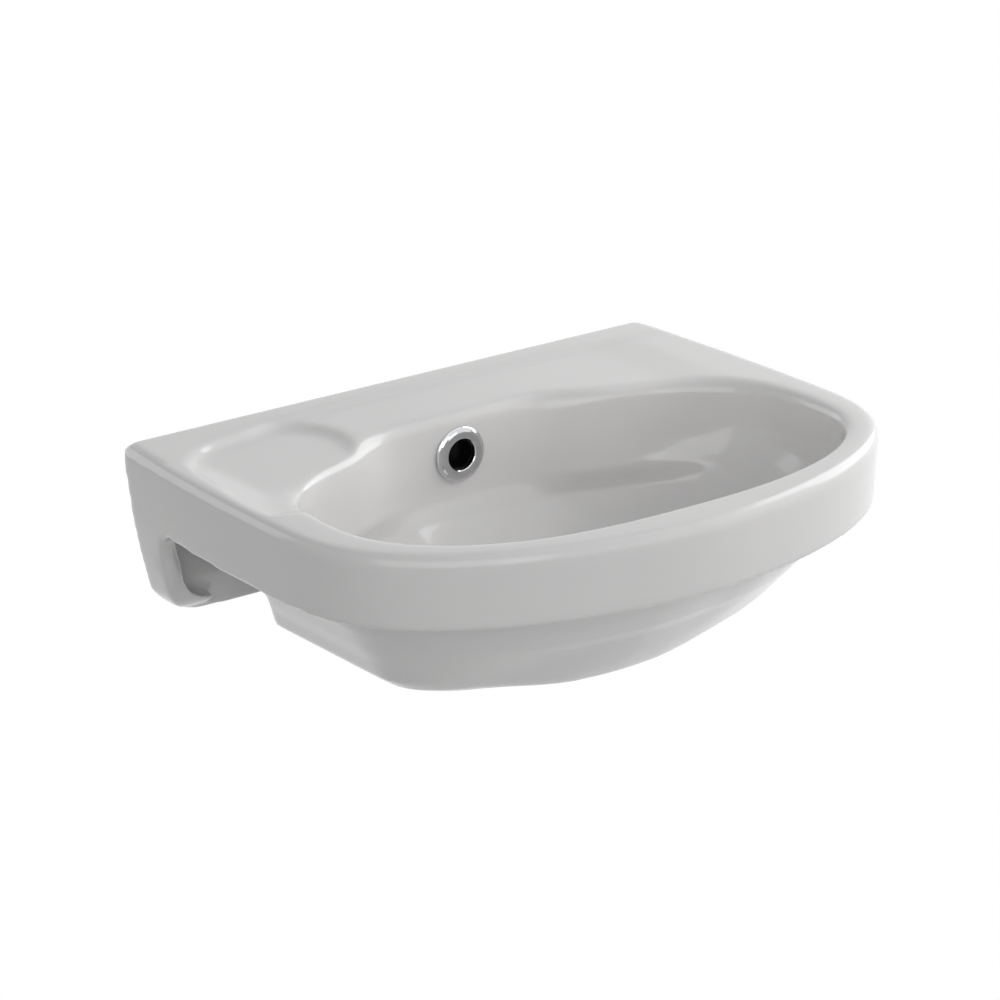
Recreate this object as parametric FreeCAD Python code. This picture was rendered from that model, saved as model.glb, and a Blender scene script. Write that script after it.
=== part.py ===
import FreeCAD, Part
import math
import os

# Wall hung hand basin, 450 mm wide and about 350 mm deep, with its overflow ring,
# its press-to-open slotted waste and its two wall fixings.
# Millimetres, +Z up. The wall is the plane y = 0 and the basin stands out towards -Y.
# x = 0 is the middle. z = 0 is the height of the two wall fixings.

V = FreeCAD.Vector

# ---- driving dimensions -------------------------------------------------------------
RIM = 62.0            # height of the front rim above the wall fixings
WIDTH = 450.0         # widest place of the rim
WALL_WIDTH = 433.2    # width against the wall
WIDEST_Y = -189.0     # where the rim is widest
DEPTH = 348.3         # wall to front edge
SIDE_POWER = 1.69     # roundness of the front corners, across
NOSE_POWER = 2.68     # roundness of the front corners, along
APRON = 51.3          # height of the apron below the rim
APRON_DRAFT = 3.5     # how far the apron leans in at its lower edge
WALL_DRAFT = 6.5      # and how far its ends lean in at the wall
WALL_T = 9.5          # thickness of the cast ware
BOWL_T = 8.0          # and of the bowl
DECK_T = 11.0         # thickness of rim and ledge
EDGE_R = 9.0          # outer top edge
EDGE_BANDS = 6

LEDGE_DROP = 2.0      # flat ledge behind the bowl, below the rim
LEDGE_LEFT = -102.0   # the ledge runs from here
LEDGE_RIGHT = 150.0   # to here, and then rises to the rim
SOAP_DROP = 6.0       # soap recess at the left, below the rim
STRIP_RISE = 1.0      # raised strip along the wall, above the rim
CREASE_Y = -18.0      # front of that strip in the middle
CREASE_LEFT = 24.0    # how much further forward it runs at the left end
CREASE_RIGHT = 9.0    # and at the right end

BOWL_HALF = 197.0     # half width of the bowl at the rim
BOWL_MID_Y = -205.0   # where the bowl is widest
BOWL_FRONT = 108.0    # from there to its front edge
BOWL_REAR = 113.0     # and to its back edge beside the ledge
BOWL_FRONT_POWER = 2.4
BOWL_REAR_POWER = 2.7
BOWL_DEPTH = 112.0    # depth that the bowl's curve aims at
BOWL_FLOOR = 108.5    # depth of its flat floor
BOWL_LIP_R = 7.0      # rounding of the inner edge
LIP_STOP = math.radians(68.0)   # its arc ends this far round, just short of level
OVERFLOW_WALL_Y = -77.5
LEDGE_HALF = 52.0     # half width of the straight part of the ledge's front
LEDGE_FADE = 58.0     # and of each S-curve beside it

FOOT = 127.0          # depth of the body's underside below the rim
SHROUD_REAR_Y = -101.0
PANEL_T = 12.0        # thickness of the flat back
PANEL_LOW = 122.5     # its lower edge, below the rim
CORNER_R = 45.5       # its round lower corners
CORNER_X = 207.0      # where they start, from the middle
END_T = 13.0          # thickness of the walls that close its ends

OVERFLOW_DROP = 31.0
OVERFLOW_HOLE_R = 13.8
RING_R = 19.4
RING_BORE_R = 10.9
RING_T = 3.2

WASTE_Y = -185.0
OUTLET_R = 23.0
SEAT_R = 33.0
SEAT_DEPTH = 2.5
FLANGE_R = 31.5
TUBE_R = 20.95        # G 1 1/4 thread, crest radius
THREAD_R = 20.3       # and its mean radius, where nut and tube meet
TUBE_BORE_R = 17.8
TAIL_DROP = 150.0     # lower end of the waste, below the rim
CHAMBER_TOP = 114.0
CHAMBER_LOW = 121.0
CHAMBER_R = 30.0
CAP_R = 22.0
ROD_R = 3.0
ROD_PLAY = 0.05

FIX_X = 120.0
STUD_R = 5.0          # hanger bolt, crest radius
BOLT_R = 4.6          # mean radius of its M10 thread, where the nut meets it
FIX_HOLE_R = 11.0
PLAY = 0.2


def at(drop):
    """Height of a level given as a depth below the rim."""
    return RIM - drop


def smooth(u):
    """Soft step from 0 to 1."""
    u = min(1.0, max(0.0, u))
    return u * u * (3.0 - 2.0 * u)


def spow(value, power):
    return math.copysign(abs(value) ** power, value)


def ring_of(points):
    """Closed smooth wire through the points."""
    curve = Part.BSplineCurve()
    curve.interpolate(Points=points, PeriodicFlag=True)
    return Part.Wire([curve.toShape()])


def prism(points, push):
    """Straight-sided solid: a polygon pushed along a vector."""
    face = Part.Face(Part.makePolygon(points + [points[0]]))
    return face.extrude(push)


def cylinder(r, start, end):
    return Part.makeCylinder(r, (end - start).Length, start, end - start)


def tube(r_out, r_in, start, end):
    return cylinder(r_out, start, end).cut(cylinder(r_in, start, end))


def turned(profile, axis_at, axis, first):
    """Solid of revolution: (radius, height) pairs, height measured along the axis."""
    points = [axis_at + first * r + axis * h for r, h in profile]
    face = Part.Face(Part.makePolygon(points + [points[0]]))
    return face.revolve(axis_at, axis, 360.0)


# ---- the basin body -----------------------------------------------------------------
def plan(half, rear_half, front, mid_y, back_y, z, side=SIDE_POWER, nose_power=NOSE_POWER):
    """D-shaped plan outline: straight along the wall, curved sides and nose."""
    sides = []
    for i in range(4):
        y = back_y + (mid_y - back_y) * i / 4.0
        lean = (half - rear_half) * ((y - mid_y) / mid_y) ** 2
        sides.append((half - lean, y))
    nose = []
    for i in range(29):
        t = math.pi * i / 28.0
        x = half * spow(math.cos(t), 2.0 / side)
        y = mid_y - (mid_y + front) * math.sin(t) ** (2.0 / nose_power)
        nose.append((x, y))
    outline = sides + nose + [(-x, y) for x, y in reversed(sides)]
    points = [V(x, y, z) for x, y in outline]
    curve = Part.BSplineCurve()
    curve.interpolate(Points=points)
    return Part.Wire([curve.toShape(), Part.makeLine(points[-1], points[0])])


def casting(inset, top, back_y, edge_r=0.0):
    """Outer form of apron and ends, or its inner form when inset, down past the back's edge.
    Its top edge is drawn round in bands when edge_r is given."""
    draws = [(top, 0.0)]
    if edge_r:
        turns = [math.pi / 2 * i / EDGE_BANDS for i in range(EDGE_BANDS + 1)]
        draws = [(top + edge_r * (1.0 - math.cos(a)), edge_r * (1.0 - math.sin(a)))
                 for a in turns]
    levels = []
    for drop, draw in draws + [(APRON, 0.0)]:
        k = max(drop, 0.0) / APRON
        levels.append((drop, WIDTH / 2 - APRON_DRAFT * k - draw,
                       WALL_WIDTH / 2 - WALL_DRAFT * k - draw))
    low, rear = levels[-1][1:]
    levels += [(APRON + 23.0, low - 4.5, rear - 4.5), (APRON + 49.0, low - 11.0, rear - 11.0),
               (PANEL_LOW + 8.0, low - 17.5, rear - 17.5)]
    wires = []
    for drop, half, rear_half in levels:
        front = DEPTH - inset - (WIDTH / 2 - half)
        wires.append(plan(half - inset, rear_half - inset, front, WIDEST_Y, back_y, at(drop)))
    return Part.makeLoft(wires, True, True)


def back_outline(r, low):
    """Outline of the flat back seen from the front, pushed forward: round lower corners."""
    y = 1.0
    mid_x = CORNER_X - CORNER_R
    mid_z = at(PANEL_LOW - CORNER_R)
    foot = V(mid_x, y, mid_z - r)
    side = V(mid_x + r, y, mid_z)
    flare = V(side.x + 15.0, y, mid_z + 45.0)
    half = [V(mid_x, y, at(low)), foot, side, flare, V(260.0, y, flare.z),
            V(260.0, y, at(-20.0))]
    other = [V(-p.x, p.y, p.z) for p in half]
    edges = [Part.makeLine(half[0], other[0]), Part.makeLine(half[-1], other[-1])]
    for path in (half, other):
        lean = math.copysign(r * math.cos(math.pi / 4), path[1].x)
        bend = V(path[1].x + lean, y, mid_z - r * math.sin(math.pi / 4))
        edges.append(Part.Arc(path[1], bend, path[2]).toShape())
        edges += [Part.makeLine(path[i], path[i + 1]) for i in (2, 3, 4)]
        if low > PANEL_LOW:
            edges.append(Part.makeLine(path[0], path[1]))
    return Part.Face(Part.Wire(Part.__sortEdges__(edges))).extrude(V(0, -76.0, 0))


def side_outline():
    """Apron and end wall seen from the side, pushed across: the end wall's lip is hollow."""
    x = -260.0
    lip = Part.BSplineCurve()
    points = [(-56.0, APRON), (-43.0, 54.5), (-37.0, 64.0), (-35.5, 76.0), (-34.0, 90.0),
              (-28.0, 104.0), (-19.0, 114.0), (-PANEL_T, 118.0)]
    lip.interpolate(Points=[V(x, y, at(drop)) for y, drop in points])
    rest = [V(x, -PANEL_T, at(118.0)), V(x, -PANEL_T, at(PANEL_LOW + 1.0)),
            V(x, 0.0, at(PANEL_LOW + 1.0)), V(x, 0.0, at(-20.0)), V(x, -400.0, at(-20.0)),
            V(x, -400.0, at(APRON)), V(x, -56.0, at(APRON))]
    edges = [lip.toShape()] + [Part.makeLine(p, q) for p, q in zip(rest, rest[1:])]
    return Part.Face(Part.Wire(edges)).extrude(V(520.0, 0, 0))


def apron_and_back():
    """Apron, deck, flat back and end walls, hollow below."""
    block = casting(0.0, -STRIP_RISE, 1.0, EDGE_R)
    front = Part.makeBox(600.0, 400.0, 120.0, V(-300.0, -400.0 - 70.0, at(APRON)))
    shape = block.common(side_outline())
    shape = shape.common(back_outline(CORNER_R, PANEL_LOW).fuse(front))
    hollow = casting(WALL_T, DECK_T + LEDGE_DROP, -PANEL_T)
    ends = back_outline(CORNER_R - END_T, PANEL_LOW + 20.0).fuse(front)
    inner = hollow.common(ends)
    return shape.cut(inner)


def bowl_level(drop, grow=0.0, lip=True):
    """One level of the bowl: a squarish oval, pulled back behind the ledge."""
    depth = BOWL_DEPTH + grow
    down = min(max(drop, 0.0) / depth, 0.999)
    size = (1.0 - down ** 2.6) ** (1.0 / 2.2)
    mid = BOWL_MID_Y + (WASTE_Y - BOWL_MID_Y) * down * down
    half = (BOWL_HALF + grow) * size
    narrow = smooth(drop / 45.0)
    flat = LEDGE_HALF - (LEDGE_HALF - 26.0) * narrow
    fade = LEDGE_FADE + 20.0 * narrow
    points = []
    count = 44
    for i in range(count):
        t = 2.0 * math.pi * (i + 0.5) / count - math.pi / 2
        c, s = math.cos(t), math.sin(t)
        reach, power = (BOWL_REAR, BOWL_REAR_POWER) if s > 0 else (BOWL_FRONT, BOWL_FRONT_POWER)
        x = half * spow(c, 2.0 / power)
        y = mid + (reach + grow) * size * spow(s, 2.0 / power)
        middle = 0.0
        if s > 0:
            middle = smooth((flat + fade - abs(x)) / fade)
            hold = middle * (1.0 - smooth((drop - 50.0) / 54.0))
            y = y + (OVERFLOW_WALL_Y + grow - y) * hold
        if lip:
            away = lip_offset(drop, x, y, middle)
            nx = c * abs(c) ** 0.4
            ny = s * abs(s) ** 0.4
            size_n = math.hypot(nx, ny)
            x += away * nx / size_n
            y += away * ny / size_n
        points.append(V(x, y, at(drop)))
    return ring_of(points)


def lip_offset(drop, x, y, middle):
    """How far the rounded inner edge stands back at this level."""
    recess = (1.0 - middle) * smooth((y + 172.0) / 55.0)
    beside = SOAP_DROP - 1.0 if x < 0 else LEDGE_DROP
    local = LEDGE_DROP * middle + beside * recess
    below = drop - local + BOWL_LIP_R * (1.0 - math.sin(LIP_STOP))
    if below >= BOWL_LIP_R:
        return 0.0
    if drop <= local:
        return BOWL_LIP_R * (1.0 - math.cos(LIP_STOP)) + 1.6 * (local - drop)
    return BOWL_LIP_R - math.sqrt(BOWL_LIP_R ** 2 - (BOWL_LIP_R - below) ** 2)


def bowl_space():
    lip = [-3.0, 0.0, 0.8, 2.0, 3.4, 5.2, 7.6, 11.0]
    wall = [18.0 + 11.0 * i for i in range(6)]
    foot = [82.0, 89.0, 95.0, 99.5, 103.0, 106.0, BOWL_FLOOR]
    return Part.makeLoft([bowl_level(d) for d in lip + wall + foot], True, True)


def bowl_shell():
    """Outside of the cast bowl."""
    drops = (9.0, 30.0, 56.0, 76.0, 92.0, 104.0, 116.0)
    return Part.makeLoft([bowl_level(d, BOWL_T, False) for d in drops], True, True)


def shroud(inset):
    """Solid outline of the lower body: narrower than the apron and rounded under."""
    squeeze = (FOOT - inset) / FOOT
    levels = (
        (40.0, 205.0, -326.0, -205.0, 1.75, 2.7),
        (52.0, 195.5, -318.0, -205.0, 1.72, 2.7),
        (63.0, 186.5, -311.5, -204.5, 1.68, 2.7),
        (75.0, 177.5, -302.5, -204.0, 1.63, 2.7),
        (88.0, 169.0, -291.5, -202.5, 1.54, 2.7),
        (100.0, 160.5, -279.0, -201.0, 1.46, 2.7),
        (114.0, 152.0, -263.0, -199.0, 1.44, 2.7),
        (122.0, 141.0, -255.0, -197.0, 1.5, 2.7),
        (FOOT, 126.0, -249.5, -195.0, 1.5, 2.7),
    )
    wires = [plan(half - inset, half - inset, -(front + inset), mid, -60.0, at(drop * squeeze),
                  side, nose)
             for drop, half, front, mid, side, nose in levels]
    return Part.makeLoft(wires, True, True)


def skirt():
    """Lower body, with its rear corners hollow and its rear edge cut slanting."""
    pocket = shroud(WALL_T).common(Part.makeBox(500, 140, 200, V(-250, -190.0, at(150.0))))
    rear_cut = prism([V(-260, -40.0, at(30.0)), V(-260, -40.0, at(140.0)),
                      V(-260, SHROUD_REAR_Y + 22.0, at(140.0)),
                      V(-260, SHROUD_REAR_Y, at(100.0)), V(-260, SHROUD_REAR_Y - 12.0, at(85.0)),
                      V(-260, SHROUD_REAR_Y - 14.0, at(30.0))], V(520, 0, 0))
    return shroud(0.0).cut(pocket).cut(rear_cut)


def crease_line(x):
    """Front of the raised strip along the wall."""
    sweep = CREASE_LEFT if x < 0 else CREASE_RIGHT
    return CREASE_Y - sweep * (abs(x) / 205.0) ** 3.0


def deck_cutter():
    """Lowers everything in front of the strip to the rim and the ledge."""
    back = [V(x, crease_line(x), at(0.0)) for x in range(-240, 241, 30)]
    curve = Part.BSplineCurve()
    curve.interpolate(Points=back)
    a, b = back[0], back[-1]
    low_a, low_b = V(a.x, -400, a.z), V(b.x, -400, b.z)
    wire = Part.Wire([curve.toShape(), Part.makeLine(b, low_b), Part.makeLine(low_b, low_a),
                      Part.makeLine(low_a, a)])
    return Part.Face(wire).extrude(V(0, 0, 20))


def ledge_outline(forward, z):
    """Plan of the ledge; its back edge follows the raised strip, set forward a little."""
    across = (LEDGE_LEFT, -60.0, -20.0, 20.0, 60.0, 105.0, 150.0, 196.0)
    back = [V(x, crease_line(x) - forward, z) for x in across]
    curve = Part.BSplineCurve()
    curve.interpolate(Points=back)
    near_left, near_right = V(back[0].x, -160.0, z), V(back[-1].x, -160.0, z)
    return Part.Wire([curve.toShape(), Part.makeLine(back[-1], near_right),
                      Part.makeLine(near_right, near_left), Part.makeLine(near_left, back[0])])


def ledge_cutter():
    """Flat ledge behind the bowl, which rises softly to the rim at the right."""
    floor_z = at(LEDGE_DROP)
    levels = ((3.0, floor_z), (1.0, floor_z + 0.8), (0.0, floor_z + 2.4), (-0.5, at(-8.0)))
    cut = Part.makeLoft([ledge_outline(forward, z) for forward, z in levels], True, True)
    ramp = prism([V(LEDGE_RIGHT, -200.0, floor_z), V(LEDGE_RIGHT + 52.0, -200.0, at(-STRIP_RISE)),
                  V(LEDGE_RIGHT + 52.0, -200.0, floor_z - 5.0), V(LEDGE_RIGHT, -200.0, floor_z - 5.0)],
                 V(0, 200.0, 0))
    slope = prism([V(-300.0, -120.0, floor_z), V(-300.0, -165.0, at(-STRIP_RISE)),
                   V(-300.0, -165.0, floor_z - 5.0), V(-300.0, -120.0, floor_z - 5.0)],
                  V(600.0, 0, 0))
    return cut.cut(ramp).cut(slope)


def soap_level(drop, share):
    """The soap recess at one level, drawn in towards its middle by a share of its size."""
    outline = [(84.0, -62.0), (88.0, -42.0)]
    outline += [(x, crease_line(-x) - 0.5) for x in (106.0, 136.0, 168.0)]
    outline += [(198.0, -54.0), (210.0, -110.0), (210.0, -170.0), (176.0, -176.0),
                (140.0, -140.0), (106.0, -112.0), (90.0, -84.0)]
    mid_x, mid_y = 148.0, -100.0
    return ring_of([V(-(mid_x + (x - mid_x) * share), mid_y + (y - mid_y) * share, at(drop))
                    for x, y in outline])


def soap_cutter():
    """Soap recess at the left: a leaf-shaped hollow that runs out over the bowl's edge."""
    levels = ((SOAP_DROP, 0.88), (SOAP_DROP - 0.8, 0.94), (SOAP_DROP - 2.6, 0.98),
              (-STRIP_RISE, 1.01), (-8.0, 1.03))
    cut = Part.makeLoft([soap_level(drop, share) for drop, share in levels], True, True)
    ramp = prism([V(-250, -120.0, at(SOAP_DROP + 5.0)), V(-250, -120.0, at(SOAP_DROP)),
                  V(-250, -200.0, at(-1.0)), V(-250, -200.0, at(SOAP_DROP + 5.0))],
                 V(500, 0, 0))
    bank = prism([V(-185.0, 0, at(SOAP_DROP)), V(-185.0, 0, at(SOAP_DROP + 5.0)),
                  V(-222.0, 0, at(SOAP_DROP + 5.0)), V(-222.0, 0, at(-STRIP_RISE))],
                 V(0, -300.0, 0))
    return cut.cut(ramp).cut(bank)


def duct(margin):
    """Path of the overflow water: behind the bowl, then forward under its floor."""
    half = 13.0 + margin
    y0 = OVERFLOW_WALL_Y + WALL_T
    profile = [
        V(-half, y0 - margin, at(OVERFLOW_DROP - 14.0 - margin)),
        V(-half, y0 + 11.0 + margin, at(OVERFLOW_DROP - 12.0 - margin)),
        V(-half, y0 + 11.0 + margin, at(60.0)),
        V(-half, -84.0 + margin, at(112.0)),
        V(-half, -100.0 + margin * 0.4, at(CHAMBER_LOW + margin * 0.6)),
        V(-half, WASTE_Y, at(CHAMBER_LOW + margin * 0.6)),
        V(-half, WASTE_Y, at(CHAMBER_TOP - margin)),
        V(-half, -112.0 - margin, at(CHAMBER_TOP - margin)),
        V(-half, -98.0 - margin, at(106.0)),
        V(-half, y0 - margin, at(60.0)),
    ]
    return prism(profile, V(2.0 * half, 0, 0))


def overflow_axis(y):
    return V(0, y, at(OVERFLOW_DROP))


def waste_axis(drop):
    return V(0, WASTE_Y, at(drop))


def basin_body():
    deck = apron_and_back().cut(deck_cutter()).cut(ledge_cutter()).cut(soap_cutter())
    body = deck.fuse(bowl_shell())
    body = body.fuse(skirt())
    body = body.fuse(duct(7.0))
    body = body.fuse(cylinder(CHAMBER_R + 8.0, waste_axis(104.0), waste_axis(FOOT)))
    body = body.cut(bowl_space())
    body = body.cut(duct(0.0))
    body = body.cut(cylinder(CHAMBER_R, waste_axis(CHAMBER_TOP), waste_axis(CHAMBER_LOW)))
    body = body.cut(cylinder(OUTLET_R, waste_axis(90.0), waste_axis(140.0)))
    body = body.cut(cylinder(SEAT_R, waste_axis(90.0), waste_axis(BOWL_FLOOR + SEAT_DEPTH)))
    face = OVERFLOW_WALL_Y
    body = body.cut(cylinder(OVERFLOW_HOLE_R, overflow_axis(face - 8.0),
                             overflow_axis(face + WALL_T + 6.0)))
    body = body.cut(cylinder(RING_R + 0.3, overflow_axis(face - 20.0), overflow_axis(face)))
    for x in (-FIX_X, FIX_X):
        body = body.cut(cylinder(FIX_HOLE_R, V(x, 5.0, 0), V(x, -PANEL_T - 5.0, 0)))
    return body


# ---- overflow -----------------------------------------------------------------------
def overflow_ring():
    """Domed trim ring with a split sleeve that snaps into the ware."""
    r, b, t = RING_R, RING_BORE_R, RING_T
    profile = [(b, 0.4), (b, t - 0.8), (b + 0.5, t - 0.2), (b + 1.4, t)]
    for i in range(1, 7):
        a = math.pi / 2 * i / 6.0
        profile.append((b + 1.4 + (r - b - 1.4) * math.sin(a), 0.4 + (t - 0.4) * math.cos(a)))
    profile += [(OVERFLOW_HOLE_R - 0.3, 0.4), (OVERFLOW_HOLE_R - 0.3, -10.0),
                (OVERFLOW_HOLE_R - 0.8, -11.0), (OVERFLOW_HOLE_R - 2.0, -11.0),
                (OVERFLOW_HOLE_R - 2.0, 0.0)]
    ring = turned(profile, overflow_axis(OVERFLOW_WALL_Y), V(0, -1, 0), V(1, 0, 0))
    face = OVERFLOW_WALL_Y
    for k in range(3):
        slot = Part.makeBox(2.4, 8.0, 40.0, V(-1.2, face + 4.0, at(OVERFLOW_DROP)))
        slot.rotate(overflow_axis(face), V(0, 1, 0), 60.0 + 120.0 * k)
        ring = ring.cut(slot)
    return ring


def overflow_seal():
    """Flat seal between the ring and the ware."""
    face = OVERFLOW_WALL_Y
    return tube(RING_R - 1.2, OVERFLOW_HOLE_R + 0.1, overflow_axis(face - 0.4),
                overflow_axis(face))


# ---- waste --------------------------------------------------------------------------
SEAT = BOWL_FLOOR + SEAT_DEPTH      # floor of the flange's seat
SEAL_T = 1.2
FLANGE_LOW = SEAT - SEAL_T
FLANGE_T = 3.0
WEB_DROP = 134.0
WEB_T = 4.0
NUT_TOP = FOOT + 5.5
NUT_H = 8.0


def waste_body():
    """Flange with a funnel, slotted and threaded tube, and the web for the plug."""
    seat = TAIL_DROP - FLANGE_LOW
    free = TAIL_DROP - (NUT_TOP + NUT_H + 0.3)
    profile = [
        (TUBE_BORE_R, 0.8), (TUBE_BORE_R + 0.8, 0.0), (TUBE_R - 0.8, 0.0), (TUBE_R, 0.8),
        (TUBE_R, free), (THREAD_R, free), (THREAD_R, seat), (FLANGE_R - 0.6, seat),
        (FLANGE_R, seat + 0.6), (FLANGE_R - 0.3, seat + 1.6), (FLANGE_R - 1.6, seat + 2.5),
        (FLANGE_R - 4.0, seat + FLANGE_T),
        (CAP_R + 3.0, seat + FLANGE_T), (CAP_R + 1.6, seat + FLANGE_T - 0.5),
        (CAP_R + 1.0, seat + 1.4), (TUBE_BORE_R + 1.0, seat - 0.6), (TUBE_BORE_R, seat - 2.2),
    ]
    shape = turned(profile, waste_axis(TAIL_DROP), V(0, 0, 1), V(1, 0, 0))
    high = CHAMBER_LOW - CHAMBER_TOP - 1.0
    for k in range(6):
        slot = Part.makeBox(14.0, 30.0, high, V(-7.0, WASTE_Y, at(CHAMBER_LOW - 0.5)))
        slot.rotate(waste_axis(0), V(0, 0, 1), 60.0 * k)
        shape = shape.cut(slot)
    hub = cylinder(8.5, waste_axis(WEB_DROP + WEB_T + 3.0), waste_axis(WEB_DROP))
    for k in range(3):
        arm = Part.makeBox(3.0, TUBE_BORE_R + 1.0, WEB_T,
                           V(-1.5, WASTE_Y, at(WEB_DROP + WEB_T)))
        arm.rotate(waste_axis(0), V(0, 0, 1), 30.0 + 120.0 * k)
        hub = hub.fuse(arm)
    shape = shape.fuse(hub)
    return shape.cut(cylinder(5.0, waste_axis(150.0), waste_axis(120.0)))


def flange_seal():
    return tube(FLANGE_R - 1.0, THREAD_R + PLAY, waste_axis(SEAT), waste_axis(FLANGE_LOW))


def outlet_seal():
    """Tapered rubber seal squeezed up into the outlet from below."""
    profile = [(THREAD_R + PLAY, 0.0), (31.0, 0.0), (31.0, 4.0), (OUTLET_R - 0.3, 4.0),
               (OUTLET_R - 0.3, 4.8), (THREAD_R + PLAY, 6.5)]
    return turned(profile, waste_axis(FOOT + 4.0), V(0, 0, 1), V(1, 0, 0))


def slip_washer():
    return tube(30.0, THREAD_R + PLAY, waste_axis(NUT_TOP), waste_axis(FOOT + 4.0))


def backnut():
    """Six-sided nut with its corners turned off and a washer face."""
    radius = 29.5
    low = waste_axis(NUT_TOP + NUT_H)
    corners = [low + V(radius * math.cos(math.pi * k / 3), radius * math.sin(math.pi * k / 3), 0)
               for k in range(6)]
    nut = prism(corners, V(0, 0, NUT_H))
    cone = turned([(0.0, 0.0), (26.6, 0.0), (radius + 0.4, 2.2), (radius + 0.4, NUT_H - 2.2),
                   (26.6, NUT_H), (0.0, NUT_H)], low, V(0, 0, 1), V(1, 0, 0))
    return nut.common(cone).cut(cylinder(THREAD_R, waste_axis(150.0), waste_axis(120.0)))


def plug_cartridge():
    """Threaded housing of the press-to-open mechanism, screwed into the web."""
    top = WEB_DROP - 12.0
    profile = [(ROD_R + ROD_PLAY, 0.0), (5.0, 0.0), (5.0, WEB_T + 4.0), (7.2, WEB_T + 4.0),
               (7.2, 17.0), (5.6, 19.0), (ROD_R + ROD_PLAY, 19.0)]
    return turned(profile, waste_axis(top + 19.0), V(0, 0, 1), V(1, 0, 0))


def plug_rod():
    """Sliding rod with the plate that the cap screws down on."""
    top = FLANGE_LOW
    length = TAIL_DROP - 6.0 - top
    profile = [(0.0, 0.6), (ROD_R - 0.6, 0.0), (ROD_R, 0.6), (ROD_R, length - 2.5),
               (9.0, length - 2.5), (9.0, length), (0.0, length)]
    return turned(profile, waste_axis(TAIL_DROP - 6.0), V(0, 0, 1), V(1, 0, 0))


def plug_cap():
    """Domed cap, hollow below."""
    low = FLANGE_LOW
    rise = 5.6
    profile = [(0.0, 0.0), (13.0, 0.0), (13.0, 1.4), (CAP_R - 1.4, 1.4), (CAP_R, 2.0)]
    for i in range(1, 8):
        a = math.pi / 2 * i / 7.0
        profile.append((CAP_R * math.cos(a), 2.0 + (rise - 2.0) * math.sin(a) ** 0.8))
    return turned(profile, waste_axis(low), V(0, 0, 1), V(1, 0, 0))


def plug_seal():
    """Rubber ring under the cap that closes on the funnel."""
    low = FLANGE_LOW
    profile = [(13.0, 0.0), (CAP_R - 2.6, 0.0), (CAP_R - 1.6, 0.8), (CAP_R - 1.6, 1.4),
               (13.0, 1.4)]
    return turned(profile, waste_axis(low), V(0, 0, 1), V(1, 0, 0))


# ---- wall fixings -------------------------------------------------------------------
def both(shape):
    """The same fastener at both wall fixings."""
    left = shape.copy()
    left.translate(V(-FIX_X, 0, 0))
    right = shape.copy()
    right.translate(V(FIX_X, 0, 0))
    return Part.makeCompound([left, right])


SLEEVE_FACE = -PANEL_T - 3.0
WASHER_FACE = SLEEVE_FACE - 2.0
NUT_FACE = WASHER_FACE - 8.0
STUD_LENGTH = 100.0


def wall_studs():
    """Hanger bolt: machine thread towards the room, pointed screw in the wall."""
    start = NUT_FACE - 9.0
    collar = -2.0 - start
    profile = [(0.0, 0.0), (BOLT_R - 1.0, 0.0), (BOLT_R, 1.0), (BOLT_R, collar),
               (STUD_R, collar), (STUD_R, STUD_LENGTH - 8.0), (1.0, STUD_LENGTH),
               (0.0, STUD_LENGTH)]
    return both(turned(profile, V(0, start, 0), V(0, 1, 0), V(1, 0, 0)))


def wall_sleeves():
    """Flanged plastic sleeve that centres the stud in the ware's hole."""
    profile = [(STUD_R + PLAY, 0.0), (16.5, 0.0), (17.0, 0.5), (17.0, 3.0),
               (FIX_HOLE_R - PLAY, 3.0), (FIX_HOLE_R - PLAY, PANEL_T - 1.0),
               (STUD_R + PLAY, PANEL_T - 1.0)]
    return both(turned(profile, V(0, SLEEVE_FACE, 0), V(0, 1, 0), V(1, 0, 0)))


def wall_washers():
    return both(tube(15.0, STUD_R + PLAY, V(0, WASHER_FACE, 0), V(0, SLEEVE_FACE, 0)))


def wall_nuts():
    corner = 8.5 / math.cos(math.pi / 6)
    points = [V(corner * math.cos(math.pi * k / 3), NUT_FACE,
                corner * math.sin(math.pi * k / 3)) for k in range(6)]
    nut = prism(points, V(0, 8.0, 0))
    cone = turned([(0.0, 0.0), (8.6, 0.0), (corner + 0.3, 1.0), (corner + 0.3, 7.0),
                   (8.6, 8.0), (0.0, 8.0)], V(0, NUT_FACE, 0), V(0, 1, 0), V(1, 0, 0))
    return both(nut.common(cone).cut(cylinder(BOLT_R, V(0, -60, 0), V(0, 0, 0))))


def wall_caps():
    """Plastic cap over nut and stud end."""
    profile = [(10.3, 0.0), (12.2, 0.0), (12.0, 12.0), (11.2, 19.0), (8.0, 21.6), (0.0, 22.4),
               (0.0, 20.8), (7.4, 20.0), (9.9, 18.0), (10.3, 12.0)]
    return both(turned(profile, V(0, WASHER_FACE, 0), V(0, -1, 0), V(1, 0, 0)))


PIECES = {
    "basin_body": basin_body,
    "overflow_ring": overflow_ring,
    "overflow_seal": overflow_seal,
    "waste_body": waste_body,
    "waste_flange_seal": flange_seal,
    "waste_outlet_seal": outlet_seal,
    "waste_slip_washer": slip_washer,
    "waste_backnut": backnut,
    "plug_cartridge": plug_cartridge,
    "plug_rod": plug_rod,
    "plug_cap": plug_cap,
    "plug_seal": plug_seal,
    "wall_studs": wall_studs,
    "wall_sleeves": wall_sleeves,
    "wall_washers": wall_washers,
    "wall_nuts": wall_nuts,
    "wall_caps": wall_caps,
}

os.makedirs("parts", exist_ok=True)
for name, make in PIECES.items():
    shape = make()
    shape.exportStep("parts/" + name + ".step")
    print(name, shape.isValid(), len(shape.Solids), round(shape.Volume / 1000.0, 1))
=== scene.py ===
import math

import bpy
from mathutils import Matrix, Vector


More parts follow.
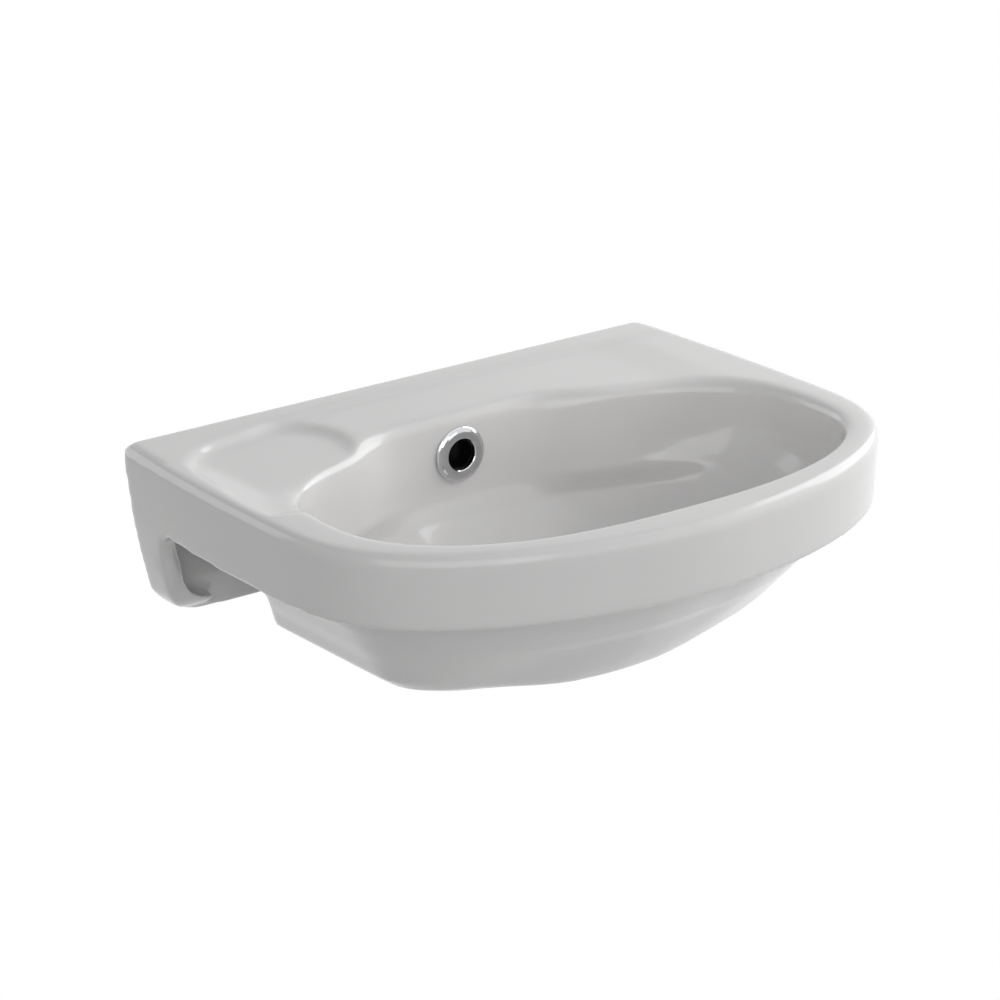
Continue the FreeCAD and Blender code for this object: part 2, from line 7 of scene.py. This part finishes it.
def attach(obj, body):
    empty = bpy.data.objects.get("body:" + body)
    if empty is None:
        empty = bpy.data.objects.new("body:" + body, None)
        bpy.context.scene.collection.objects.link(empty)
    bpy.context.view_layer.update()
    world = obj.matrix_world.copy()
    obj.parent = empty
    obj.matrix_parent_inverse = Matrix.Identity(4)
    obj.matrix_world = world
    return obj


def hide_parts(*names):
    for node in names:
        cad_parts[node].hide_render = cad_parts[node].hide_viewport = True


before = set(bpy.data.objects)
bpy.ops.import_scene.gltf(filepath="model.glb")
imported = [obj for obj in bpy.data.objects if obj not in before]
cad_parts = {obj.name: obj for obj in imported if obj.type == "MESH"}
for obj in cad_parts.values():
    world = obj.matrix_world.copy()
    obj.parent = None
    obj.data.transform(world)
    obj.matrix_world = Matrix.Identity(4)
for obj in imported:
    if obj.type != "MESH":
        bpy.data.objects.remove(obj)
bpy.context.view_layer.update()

# Wall hung hand basin: one glazed casting with its chrome overflow ring, its
# press-to-open waste and its wall fixings. Metres, +Z up, the wall is the plane y = 0.

# ---- how the ware's skin is drawn ---------------------------------------------------
MERGE = 0.00002            # corners of loose triangles nearer than this become one
VOXEL = 0.0018             # grid that the skin is redrawn on
SKIN_PASSES = 4            # smoothing passes all over, which clear the grid's steps
EDGE_PASSES = 14           # more on the outer edges, which end up about 5 mm round
LIP_PASSES = 26            # more again on the deck, the soap recess and the bowl's lip
PASS_STRENGTH = 0.5        # of each pass
SHARE_STEPS = 20.0         # softness is graded in this many steps
MOST_TRIANGLES = 190000.0  # that the skin keeps in the end

# ---- the bowl and what sits in the ware ---------------------------------------------
RIM_Z = 0.062             # the front rim
BOWL_DEPTH = 0.112        # from the rim down to its bottom
BOWL_DEEPEST = 0.999      # share of that depth at which the bowl still has a width
BOWL_HALF = 0.197         # half its width
BOWL_MIDDLE_Y = -0.205    # where it is widest
BOWL_FRONT = 0.108        # from there to the front edge of the bowl
BOWL_REAR = 0.113         # and to its back edge
BOWL_POWER = 2.5          # squareness of its plan
BOWL_FALL = 2.6           # how late its width goes in with depth,
BOWL_ROUND = 2.2          # and how roundly
WASTE_Y = -0.185          # the outlet's middle
WASTE_CLEAR_R = 0.040     # the outlet keeps true edges this far round,
WASTE_CLEAR_Z = -0.035    # below this height
FIX_X = 0.120             # the two fixing holes, from the middle
SEAT_CLEAR_R = 0.022      # true edges round each of them, and round the ring's seat
SEAT_CLEAR_Y = -0.090     # which is behind this
PANEL_CLEAR_Z = -0.020    # the panel's lower edge and inner face are true below this,
PANEL_CLEAR_X = 0.150     # nearer the middle than this
PANEL_CLEAR_Y = -0.030    # and behind this
WALL_TRUE = 0.006         # edges grow soft over this depth from the wall face

RING_Z = 0.031            # height of the overflow ring's middle
RING_FACE_Y = -0.0775     # the bowl wall that it lies on
SPOT_FACE = 0.0015        # depth of its seat, and a little
HOLE_R = 0.0145           # just over the ware's hole behind it
SLEEVE_R = 0.0114         # the ring's black sleeve
SLEEVE_LENGTH = 0.0095
SLEEVE_BEHIND = 0.00525   # its middle, behind the bowl's wall
SLEEVE_WALL = 0.0012
DUCT_HALF = 0.0142        # half width of the duct behind the bowl, and a little
DUCT_DEPTH = 0.0085       # half its depth, and a little
DUCT_Y = -0.0625          # its middle where it runs straight down
DUCT_BEND_Z = 0.002       # where it turns forward
DUCT_SLOPE = 0.52         # how far forward for each metre down
DUCT_TOP_Z = 0.047        # its upper end
DUCT_END_Z = -0.056       # and its lower one

# ---- zones of the skin: where each starts and the length that it comes in over ------
LIP_ROLL = (1.10, 0.09)      # by beyond_bowl, past the rolled lip
DECK_FRONT = (-0.135, 0.02)  # by y
DECK_END = (-0.205, 0.01)    # by -|x|
DECK_HIGH = (0.028, 0.012)   # by z
DECK_BACK = (0.012, 0.01)    # by -y
WALL_EDGE = (0.008, 0.008)   # by -y, past the edge against the wall

LIP_SHIFT = 0.008             # the left lip stands this much further in than in the solid
LIP_NEAR = (1.08, 0.2)        # by beyond_bowl, past the lip
LIP_HIGH = (0.012, 0.03)      # by z
LIP_LEFT = (0.07, 0.1)        # by -x
BODY_SHIFT = 0.0035           # the lower body is this much fuller at its right and rear,
REAR_SHIFT = 0.010            # its rear corners reach this much further back,
FOOT_SHIFT = 0.006            # and the front of its foot this much further down
BODY_TOP_Z = 0.008            # nothing of it moves above this,
BODY_BACK_Y = -0.060          # nor behind this
BODY_LOW = (-0.008, 0.02)     # by -z
BODY_OUTSIDE = (1.02, 0.1)    # by beyond_bowl
BODY_REAR = (-0.26, 0.06)     # by y
BODY_SIDE = (0.04, 0.05)      # by |x|
REAR_CORNER = (-0.165, 0.05)  # by y
FOOT_LOW = (0.030, 0.025)     # by -z
FOOT_FRONT = (0.200, 0.035)   # by -y
FOOT_SIDE = (0.03, 0.07)      # by |x|

# ---- which of the ware's finishes a face has ----------------------------------------
# the third finish is near black painted shade for the overflow's hole and duct
GLAZED, BARE, DUCT_SHADE = 0, 1, 2
WALL_FACE_DEPTH = 0.0006  # the bare wall face is within this of the wall,
WALL_FACE_TURN = 0.9      # and turned to it

# ---- grain of the materials, in millimetres -----------------------------------------
DRIFT_MM = 100.0          # the glaze's tone and gloss
WAVE_MM = 35.7            # its soft waves
PEEL_MM = 3.85            # its orange peel
RUB_MM = 28.6             # patches on the bare ware
MOULD_MM = 1.0            # and the plaster's grain
SHADE_PATCH_MM = 8.33            # patches in the duct's painted shade

# ---- numbers of the sockets of a Mix node that mixes colours ------------------------
MIX_SHARE, MIX_FIRST, MIX_SECOND = 0, 6, 7
MIX_RESULT = 2

# ---- studio -------------------------------------------------------------------------
FLOOR_Z = -0.30           # well below the ware
FLOOR_SIZE = 30.0
ROOM_LIGHT = 0.24         # even light from all round
CAMERA_PLACE = (-1.8693, -2.6763, 1.1531)
CAMERA_RIGHT = (0.80462, -0.59370, -0.01064)
CAMERA_FORWARD = (0.55557, 0.75903, -0.33944)
CAMERA_LENS = 183.1       # millimetres,
CAMERA_SENSOR = 36.0      # on a sensor this wide
CAMERA_REACH = 60.0       # metres, past the floor's far edge


# ---- small helpers ------------------------------------------------------------------
def hex_rgb(code):
    """sRGB hex colour as linear RGBA."""
    values = [int(code[i:i + 2], 16) / 255.0 for i in (1, 3, 5)]
    return [v / 12.92 if v <= 0.04045 else ((v + 0.055) / 1.055) ** 2.4 for v in values] + [1.0]


def add_node(owner, kind, settings=None, values=None, links=None):
    """One node with its settings, its socket values and what feeds it."""
    node = owner.node_tree.nodes.new(kind)
    for key, value in (settings or {}).items():
        setattr(node, key, value)
    for key, value in (values or {}).items():
        node.inputs[key].default_value = value
    for key, source in (links or {}).items():
        owner.node_tree.links.new(source, node.inputs[key])
    return node


def new_material(name):
    """A material with no nodes yet."""
    material = bpy.data.materials.new(name)
    material.use_nodes = True
    material.node_tree.nodes.clear()
    return material


def finish_material(material, shader):
    """The shader joined to the material's output."""
    add_node(material, "ShaderNodeOutputMaterial", None, None, {"Surface": shader.outputs[0]})
    return material


def deselect_all():
    bpy.ops.object.select_all(action="DESELECT")


def apply_modifier(piece, kind, settings):
    """One modifier, added with its settings and applied."""
    modifier = piece.modifiers.new(kind.lower(), kind)
    for key, value in settings.items():
        setattr(modifier, key, value)
    deselect_all()
    piece.select_set(True)
    bpy.context.view_layer.objects.active = piece
    bpy.ops.object.modifier_apply(modifier=modifier.name)


def merged_copy(node_name, piece_name):
    """A copy of a CAD node with its loose triangles joined."""
    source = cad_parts[node_name]
    deselect_all()
    source.select_set(True)
    bpy.context.view_layer.objects.active = source
    bpy.ops.object.duplicate()
    piece = bpy.context.view_layer.objects.active
    piece.name = piece_name
    bpy.ops.object.mode_set(mode="EDIT")
    bpy.ops.mesh.select_all(action="SELECT")
    bpy.ops.mesh.remove_doubles(threshold=MERGE)
    bpy.ops.object.mode_set(mode="OBJECT")
    return piece


def ramp(value, start, length):
    """Soft step from 0 at the start to 1 a length further on."""
    value = min(1.0, max(0.0, (value - start) / length))
    return value * value * (3.0 - 2.0 * value)


# ---- materials ----------------------------------------------------------------------
def vitreous_china():
    """Slip-cast vitreous china under a sprayed clear glaze: an even, neutral white whose
    tone and gloss drift over about 100 mm, with soft waves some 35 mm long in its surface
    and a faint orange peel. The peel is drawn at 4 mm, coarser than the real one, so that it
    shows."""
    m = new_material("vitreous_china")
    place = add_node(m, "ShaderNodeTexCoord")
    drift = add_node(m, "ShaderNodeTexNoise", None, {"Scale": 1000.0 / DRIFT_MM, "Detail": 2.0},
                     {"Vector": place.outputs["Object"]})
    tint = add_node(m, "ShaderNodeMix", {"data_type": "RGBA"},
                    {MIX_FIRST: hex_rgb("#E2E1E1"), MIX_SECOND: hex_rgb("#E8E7E6")},
                    {MIX_SHARE: drift.outputs["Fac"]})
    wave = add_node(m, "ShaderNodeTexNoise", None, {"Scale": 1000.0 / WAVE_MM, "Detail": 1.0},
                    {"Vector": place.outputs["Object"]})
    waves = add_node(m, "ShaderNodeBump", None, {"Strength": 0.05, "Distance": 0.0004},
                     {"Height": wave.outputs["Fac"]})
    peel = add_node(m, "ShaderNodeTexNoise", None, {"Scale": 1000.0 / PEEL_MM, "Detail": 2.0},
                    {"Vector": place.outputs["Object"]})
    skin = add_node(m, "ShaderNodeBump", None, {"Strength": 0.03, "Distance": 0.00004},
                    {"Height": peel.outputs["Fac"], "Normal": waves.outputs["Normal"]})
    gloss = add_node(m, "ShaderNodeMapRange", None, {"To Min": 0.09, "To Max": 0.16},
                     {"Value": drift.outputs["Fac"]})
    shader = add_node(m, "ShaderNodeBsdfPrincipled", None,
                      {"IOR": 1.5, "Coat Weight": 0.25, "Coat Roughness": 0.04},
                      {"Base Color": tint.outputs[MIX_RESULT], "Normal": skin.outputs["Normal"],
                       "Roughness": gloss.outputs[0]})
    return finish_material(m, shader)


def bare_fired_body():
    """The same ware without glaze, where it stands against the wall: matt, faintly buff,
    rubbed darker in patches some 30 mm wide. The plaster mould's grain is drawn at 1 mm,
    coarser than the real one, so that it shows."""
    m = new_material("bare_fired_body")
    place = add_node(m, "ShaderNodeTexCoord")
    rub = add_node(m, "ShaderNodeTexNoise", None, {"Scale": 1000.0 / RUB_MM, "Detail": 6.0},
                   {"Vector": place.outputs["Object"]})
    tint = add_node(m, "ShaderNodeMix", {"data_type": "RGBA"},
                    {MIX_FIRST: hex_rgb("#CFCBC2"), MIX_SECOND: hex_rgb("#DDD9D0")},
                    {MIX_SHARE: rub.outputs["Fac"]})
    grain = add_node(m, "ShaderNodeTexNoise", None, {"Scale": 1000.0 / MOULD_MM, "Detail": 2.0},
                     {"Vector": place.outputs["Object"]})
    relief = add_node(m, "ShaderNodeBump", None, {"Strength": 0.25, "Distance": 0.0001},
                      {"Height": grain.outputs["Fac"]})
    shader = add_node(m, "ShaderNodeBsdfPrincipled", None, {"Roughness": 0.85},
                      {"Base Color": tint.outputs[MIX_RESULT],
                       "Normal": relief.outputs["Normal"]})
    return finish_material(m, shader)


def duct_painted_shade():
    """Inside of the overflow duct: bare ware painted near black as painted shade, for the dark
    deep in the narrow duct, uneven in patches of about 8 mm."""
    m = new_material("duct_painted_shade")
    place = add_node(m, "ShaderNodeTexCoord")
    shade_patches = add_node(m, "ShaderNodeTexNoise", None, {"Scale": 1000.0 / SHADE_PATCH_MM, "Detail": 4.0},
                    {"Vector": place.outputs["Object"]})
    tint = add_node(m, "ShaderNodeMix", {"data_type": "RGBA"},
                    {MIX_FIRST: hex_rgb("#101010"), MIX_SECOND: hex_rgb("#1C1B1A")},
                    {MIX_SHARE: shade_patches.outputs["Fac"]})
    shader = add_node(m, "ShaderNodeBsdfPrincipled", None, {"Roughness": 0.7},
                      {"Base Color": tint.outputs[MIX_RESULT]})
    return finish_material(m, shader)


def grained(name, low, high, grain_mm, depth):
    """A material with the grain, tint and relief that metal and moulded skins share. The
    grain is drawn coarser than the real one, so that it shows."""
    m = new_material(name)
    place = add_node(m, "ShaderNodeTexCoord")
    grain = add_node(m, "ShaderNodeTexNoise", None,
                     {"Scale": 1000.0 / grain_mm, "Detail": 3.0},
                     {"Vector": place.outputs["Object"]})
    tint = add_node(m, "ShaderNodeMix", {"data_type": "RGBA"},
                    {MIX_FIRST: hex_rgb(low), MIX_SECOND: hex_rgb(high)},
                    {MIX_SHARE: grain.outputs["Fac"]})
    relief = add_node(m, "ShaderNodeBump", None, {"Strength": 0.3, "Distance": depth},
                      {"Height": grain.outputs["Fac"]})
    return m, grain, tint, relief


def metal_skin(name, low, high, rough_low, rough_high, grain_mm, depth):
    """A metal surface whose tone and gloss vary with its grain, given in millimetres."""
    m, grain, tint, relief = grained(name, low, high, grain_mm, depth)
    rough = add_node(m, "ShaderNodeMapRange", None, {"To Min": rough_low, "To Max": rough_high},
                     {"Value": grain.outputs["Fac"]})
    shader = add_node(m, "ShaderNodeBsdfPrincipled", None, {"Metallic": 1.0},
                      {"Base Color": tint.outputs[MIX_RESULT], "Roughness": rough.outputs[0],
                       "Normal": relief.outputs["Normal"]})
    return finish_material(m, shader)


def moulded_skin(name, low, high, rough, grain_mm, depth):
    """A moulded plastic or rubber surface: slightly uneven tone and a fine mould grain."""
    m, grain, tint, relief = grained(name, low, high, grain_mm, depth)
    shader = add_node(m, "ShaderNodeBsdfPrincipled", None, {"Roughness": rough},
                      {"Base Color": tint.outputs[MIX_RESULT],
                       "Normal": relief.outputs["Normal"]})
    return finish_material(m, shader)


glaze = vitreous_china()
bare_ware = bare_fired_body()
# near black painted shade for the inside of the overflow's hole and duct
duct = duct_painted_shade()
# The rest by name, two tones, roughness, grain in millimetres and the relief's depth.
# Bright chrome over polished brass: a mirror with a trace of polishing haze.
chrome = metal_skin("bright_chrome", "#D2D3D5", "#DCDDDF", 0.04, 0.09, 2.5, 0.000001)
# Turned brass, left bare: yellow, its tone and gloss uneven in spots of 1.5 mm.
brass = metal_skin("turned_brass", "#A98443", "#C7A45E", 0.22, 0.36, 1.5, 0.00002)
# Zinc plating over rolled steel: bluish grey, with a dull and uneven gloss.
zinc = metal_skin("zinc_plate", "#8E9499", "#B2B7BA", 0.28, 0.46, 1.2, 0.00003)
# Moulded EPDM rubber: black, matt, with a light bloom.
rubber = moulded_skin("epdm_rubber", "#141414", "#222222", 0.62, 1.0, 0.00003)
# Moulded polyamide: milky white and satin.
nylon = moulded_skin("moulded_nylon", "#D6D6CF", "#E2E2DD", 0.42, 1.5, 0.00002)
# Moulded ABS: glossy white.
white_abs = moulded_skin("gloss_abs", "#E0E0DE", "#E9E9E7", 0.2, 3.0, 0.00001)
# Moulded ABS in black, for the ring's sleeve.
black_abs = moulded_skin("black_abs", "#070707", "#0E0E0E", 0.35, 1.5, 0.00001)

FINISH = {
    "basin_body": glaze, "overflow_ring": chrome, "overflow_seal": rubber,
    "waste_body": chrome, "waste_flange_seal": rubber, "waste_outlet_seal": rubber,
    "waste_slip_washer": nylon, "waste_backnut": brass, "plug_cartridge": brass,
    "plug_rod": brass, "plug_cap": chrome, "plug_seal": rubber, "wall_studs": zinc,
    "wall_sleeves": nylon, "wall_washers": zinc, "wall_nuts": zinc, "wall_caps": white_abs,
}
for node_name, finish in FINISH.items():
    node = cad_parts[node_name]
    if not node.material_slots:
        node.data.materials.append(finish)
    for slot in node.material_slots:
        slot.material = finish


# ---- the glazed ware ----------------------------------------------------------------
def beyond_bowl(place):
    """Under 1 inside the bowl at this height, 1 on its wall and more outside it."""
    down = min(max(RIM_Z - place.z, 0.0) / BOWL_DEPTH, BOWL_DEEPEST)
    size = (1.0 - down ** BOWL_FALL) ** (1.0 / BOWL_ROUND)
    away = place.y - BOWL_MIDDLE_Y
    reach = BOWL_REAR if away > 0 else BOWL_FRONT
    across = (abs(place.x) / (BOWL_HALF * size)) ** BOWL_POWER
    return across + (abs(away) / (reach * size)) ** BOWL_POWER


def edge_softness(place):
    """How far an edge here is drawn round: the wall face and the fitted holes stay true."""
    if place.y > -WALL_TRUE:
        return ramp(-place.y, 0.0, WALL_TRUE)
    if math.hypot(place.x, place.z - RING_Z) < SEAT_CLEAR_R and place.y > SEAT_CLEAR_Y:
        return 0.0
    if math.hypot(place.x, place.y - WASTE_Y) < WASTE_CLEAR_R and place.z < WASTE_CLEAR_Z:
        return 0.0
    if (place.z < PANEL_CLEAR_Z and abs(place.x) < PANEL_CLEAR_X
            and place.y > PANEL_CLEAR_Y):
        return 0.0
    return 1.0


def wall_edge_softness(place):
    """The outline against the wall, clear of the two fixing holes."""
    if math.hypot(abs(place.x) - FIX_X, place.z) < SEAT_CLEAR_R:
        return 0.0
    return 1.0 - ramp(-place.y, *WALL_EDGE)


def lip_softness(place):
    """The deck and the lip that rolls over into the bowl, clear of the rim's outer edge."""
    inside = 1.0 - ramp(beyond_bowl(place), *LIP_ROLL)
    behind = ramp(place.y, *DECK_FRONT) * ramp(-abs(place.x), *DECK_END)
    return (edge_softness(place) * ramp(place.z, *DECK_HIGH)
            * max(inside, behind) * ramp(-place.y, *DECK_BACK))


def smooth_by(piece, name, softness, passes, keep_depth=False):
    """Smoothing passes weighed by a function of place, without moves in depth if asked."""
    group = piece.vertex_groups.new(name=name)
    shares = {}
    for vertex in piece.data.vertices:
        shares.setdefault(round(softness(vertex.co) * SHARE_STEPS), []).append(vertex.index)
    for share, members in shares.items():
        if share:
            group.add(members, share / SHARE_STEPS, "REPLACE")
    apply_modifier(piece, "SMOOTH", {"factor": PASS_STRENGTH, "iterations": passes,
                                     "vertex_group": name, "use_y": not keep_depth})
    piece.vertex_groups.clear()


def settle_shape(piece):
    """Moves the skin its last few millimetres: the left lip further in, the lower body fuller
    at its right and its rear corners, and the front of its foot further down."""
    for vertex in piece.data.vertices:
        place = vertex.co
        round_bowl = beyond_bowl(place)
        lip = (1.0 - ramp(round_bowl, *LIP_NEAR)) * ramp(place.z, *LIP_HIGH)
        place.x += LIP_SHIFT * lip * ramp(-place.x, *LIP_LEFT)
        if place.z < BODY_TOP_Z and place.y < BODY_BACK_Y:
            outside = ramp(round_bowl, *BODY_OUTSIDE)
            low = ramp(-place.z, *BODY_LOW) * outside
            side = ramp(abs(place.x), *BODY_SIDE)
            share = side * (1.0 if place.x > 0 else ramp(place.y, *BODY_REAR))
            out = Vector((place.x, place.y - BOWL_MIDDLE_Y, 0.0)).normalized()
            place += out * (BODY_SHIFT * low * share)
            place.y += REAR_SHIFT * low * side * ramp(place.y, *REAR_CORNER)
            foot = ramp(-place.z, *FOOT_LOW) * outside * ramp(-place.y, *FOOT_FRONT)
            place.z -= FOOT_SHIFT * foot * (1.0 - ramp(abs(place.x), *FOOT_SIDE))
    piece.data.update()


def in_overflow(place):
    """Whether a spot is on the wall of the overflow's hole or duct."""
    hole = math.hypot(place.x, place.z - RING_Z)
    if hole < HOLE_R and RING_FACE_Y + SPOT_FACE < place.y < DUCT_Y:
        return True
    middle = DUCT_Y - DUCT_SLOPE * max(0.0, DUCT_BEND_Z - place.z)
    return (abs(place.x) < DUCT_HALF and abs(place.y - middle) < DUCT_DEPTH
            and DUCT_END_Z < place.z < DUCT_TOP_Z)


def glazed_basin():
    """The casting with every edge drawn soft, as glaze leaves it."""
    ware = merged_copy("basin_body", "glazed_basin")
    apply_modifier(ware, "REMESH", {"mode": "VOXEL", "voxel_size": VOXEL})
    apply_modifier(ware, "SMOOTH", {"factor": PASS_STRENGTH, "iterations": SKIN_PASSES})
    smooth_by(ware, "edges", edge_softness, EDGE_PASSES)
    smooth_by(ware, "wall_edge", wall_edge_softness, EDGE_PASSES, keep_depth=True)
    smooth_by(ware, "lip", lip_softness, LIP_PASSES)
    settle_shape(ware)
    share = MOST_TRIANGLES / (2.0 * len(ware.data.polygons))
    apply_modifier(ware, "DECIMATE", {"ratio": min(1.0, share)})
    bpy.ops.object.shade_smooth()
    ware.data.materials.clear()
    for finish in (glaze, bare_ware, duct):
        ware.data.materials.append(finish)
    # faces in the overflow's hole and duct get the painted shade, the wall face stays bare, the
    # rest is glazed
    for face in ware.data.polygons:
        if in_overflow(face.center):
            face.material_index = DUCT_SHADE
        elif face.center.y > -WALL_FACE_DEPTH and face.normal.y > WALL_FACE_TURN:
            face.material_index = BARE
        else:
            face.material_index = GLAZED
    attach(ware, "basin")
    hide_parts("basin_body")


# ---- the overflow ring's sleeve -----------------------------------------------------
def ring_sleeve():
    """Black inner sleeve of the chrome ring, open at both ends."""
    deselect_all()
    bpy.ops.mesh.primitive_cylinder_add(
        vertices=64, radius=SLEEVE_R, depth=SLEEVE_LENGTH, end_fill_type="NOTHING",
        location=(0, RING_FACE_Y + SLEEVE_BEHIND, RING_Z), rotation=(math.radians(90.0), 0, 0))
    sleeve = bpy.context.view_layer.objects.active
    sleeve.name = "ring_sleeve"
    bpy.ops.object.transform_apply(location=True, rotation=True, scale=True)
    apply_modifier(sleeve, "SOLIDIFY", {"thickness": SLEEVE_WALL, "offset": -1.0})
    bpy.ops.object.shade_smooth_by_angle(angle=math.radians(40.0))
    sleeve.data.materials.append(black_abs)
    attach(sleeve, "basin")


glazed_basin()
ring_sleeve()


# ---- floor, light and camera --------------------------------------------------------
def seen_directly(owner):
    """1 on the camera's own rays and on those that a mirror or glass sends on, else 0."""
    path = add_node(owner, "ShaderNodeLightPath")
    seen = add_node(owner, "ShaderNodeMath", {"operation": "MAXIMUM"}, None,
                    {0: path.outputs["Is Camera Ray"], 1: path.outputs["Is Glossy Ray"]})
    return add_node(owner, "ShaderNodeMath", {"operation": "MAXIMUM"}, None,
                    {0: seen.outputs[0], 1: path.outputs["Is Transmission Ray"]})


def studio_floor():
    """White where it is seen directly, and grey paper for all other light."""
    deselect_all()
    bpy.ops.mesh.primitive_plane_add(size=FLOOR_SIZE, location=(0, 0, FLOOR_Z))
    floor = bpy.context.view_layer.objects.active
    floor.name = "studio_floor"
    bpy.ops.object.transform_apply(location=True, rotation=True, scale=True)
    paper = new_material("floor_paper")
    lit = add_node(paper, "ShaderNodeBsdfDiffuse", None, {"Color": hex_rgb("#9A9A9A")})
    glow = add_node(paper, "ShaderNodeEmission", None,
                    {"Color": hex_rgb("#FFFFFF"), "Strength": 1.0})
    both = add_node(paper, "ShaderNodeMixShader", None, None,
                    {0: seen_directly(paper).outputs[0], 1: lit.outputs[0], 2: glow.outputs[0]})
    floor.data.materials.append(finish_material(paper, both))


def studio_world():
    """White where it is seen directly, and a low even light otherwise."""
    world = bpy.data.worlds.new("studio")
    bpy.context.scene.world = world
    world.use_nodes = True
    world.node_tree.nodes.clear()
    level = add_node(world, "ShaderNodeMapRange", None, {"To Min": ROOM_LIGHT, "To Max": 1.0},
                     {"Value": seen_directly(world).outputs[0]})
    glow = add_node(world, "ShaderNodeBackground", None, {"Color": hex_rgb("#FFFFFF")},
                    {"Strength": level.outputs[0]})
    add_node(world, "ShaderNodeOutputWorld", None, None, {"Surface": glow.outputs[0]})


def softbox(name, place, target, size, power):
    """A rectangular lamp that faces its target."""
    light = bpy.data.lights.new(name, "AREA")
    light.shape = "RECTANGLE"
    light.size, light.size_y = size
    light.energy = power
    lamp = bpy.data.objects.new(name, light)
    bpy.context.collection.objects.link(lamp)
    lamp.location = place
    lamp.rotation_euler = (Vector(target) - Vector(place)).to_track_quat("-Z", "Y").to_euler()
    return lamp


def studio_camera():
    """The camera that looks at the basin from its front left, from a little above."""
    data = bpy.data.cameras.new("camera")
    data.sensor_width = CAMERA_SENSOR
    data.lens = CAMERA_LENS
    data.clip_end = CAMERA_REACH
    camera = bpy.data.objects.new("camera", data)
    bpy.context.collection.objects.link(camera)
    right = Vector(CAMERA_RIGHT).normalized()
    forward = Vector(CAMERA_FORWARD).normalized()
    up = right.cross(forward).normalized()
    turn = Matrix((right, up, -forward)).transposed()
    camera.matrix_world = Matrix.Translation(CAMERA_PLACE) @ turn.to_4x4()
    bpy.context.scene.camera = camera


studio_floor()
studio_world()
# Each lamp's place, what it faces, its width and height, and its watts.
key = softbox("key", (2.1, -0.9, 0.6), (0, -0.2, 0), (3.0, 2.4), 38.0)
key.visible_glossy = False      # so that the glaze mirrors the white room there, not the lamp
softbox("right", (1.05, -0.2, 0.5), (0.15, -0.2, 0), (0.9, 0.9), 5.0)
softbox("top", (0.1, -0.4, 1.9), (0, -0.17, 0), (2.4, 2.4), 2.0)
softbox("front", (0.2, -2.6, 0.3), (0, -0.2, 0), (2.0, 1.6), 5.0)
softbox("front_left", (-1.5, -2.1, 0.4), (0, -0.2, 0), (3.2, 2.4), 26.0)
softbox("back", (-0.9, 2.2, 0.5), (0, 0, 0), (2.2, 1.6), 11.0)
studio_camera()

bpy.context.scene.view_settings.view_transform = "Standard"
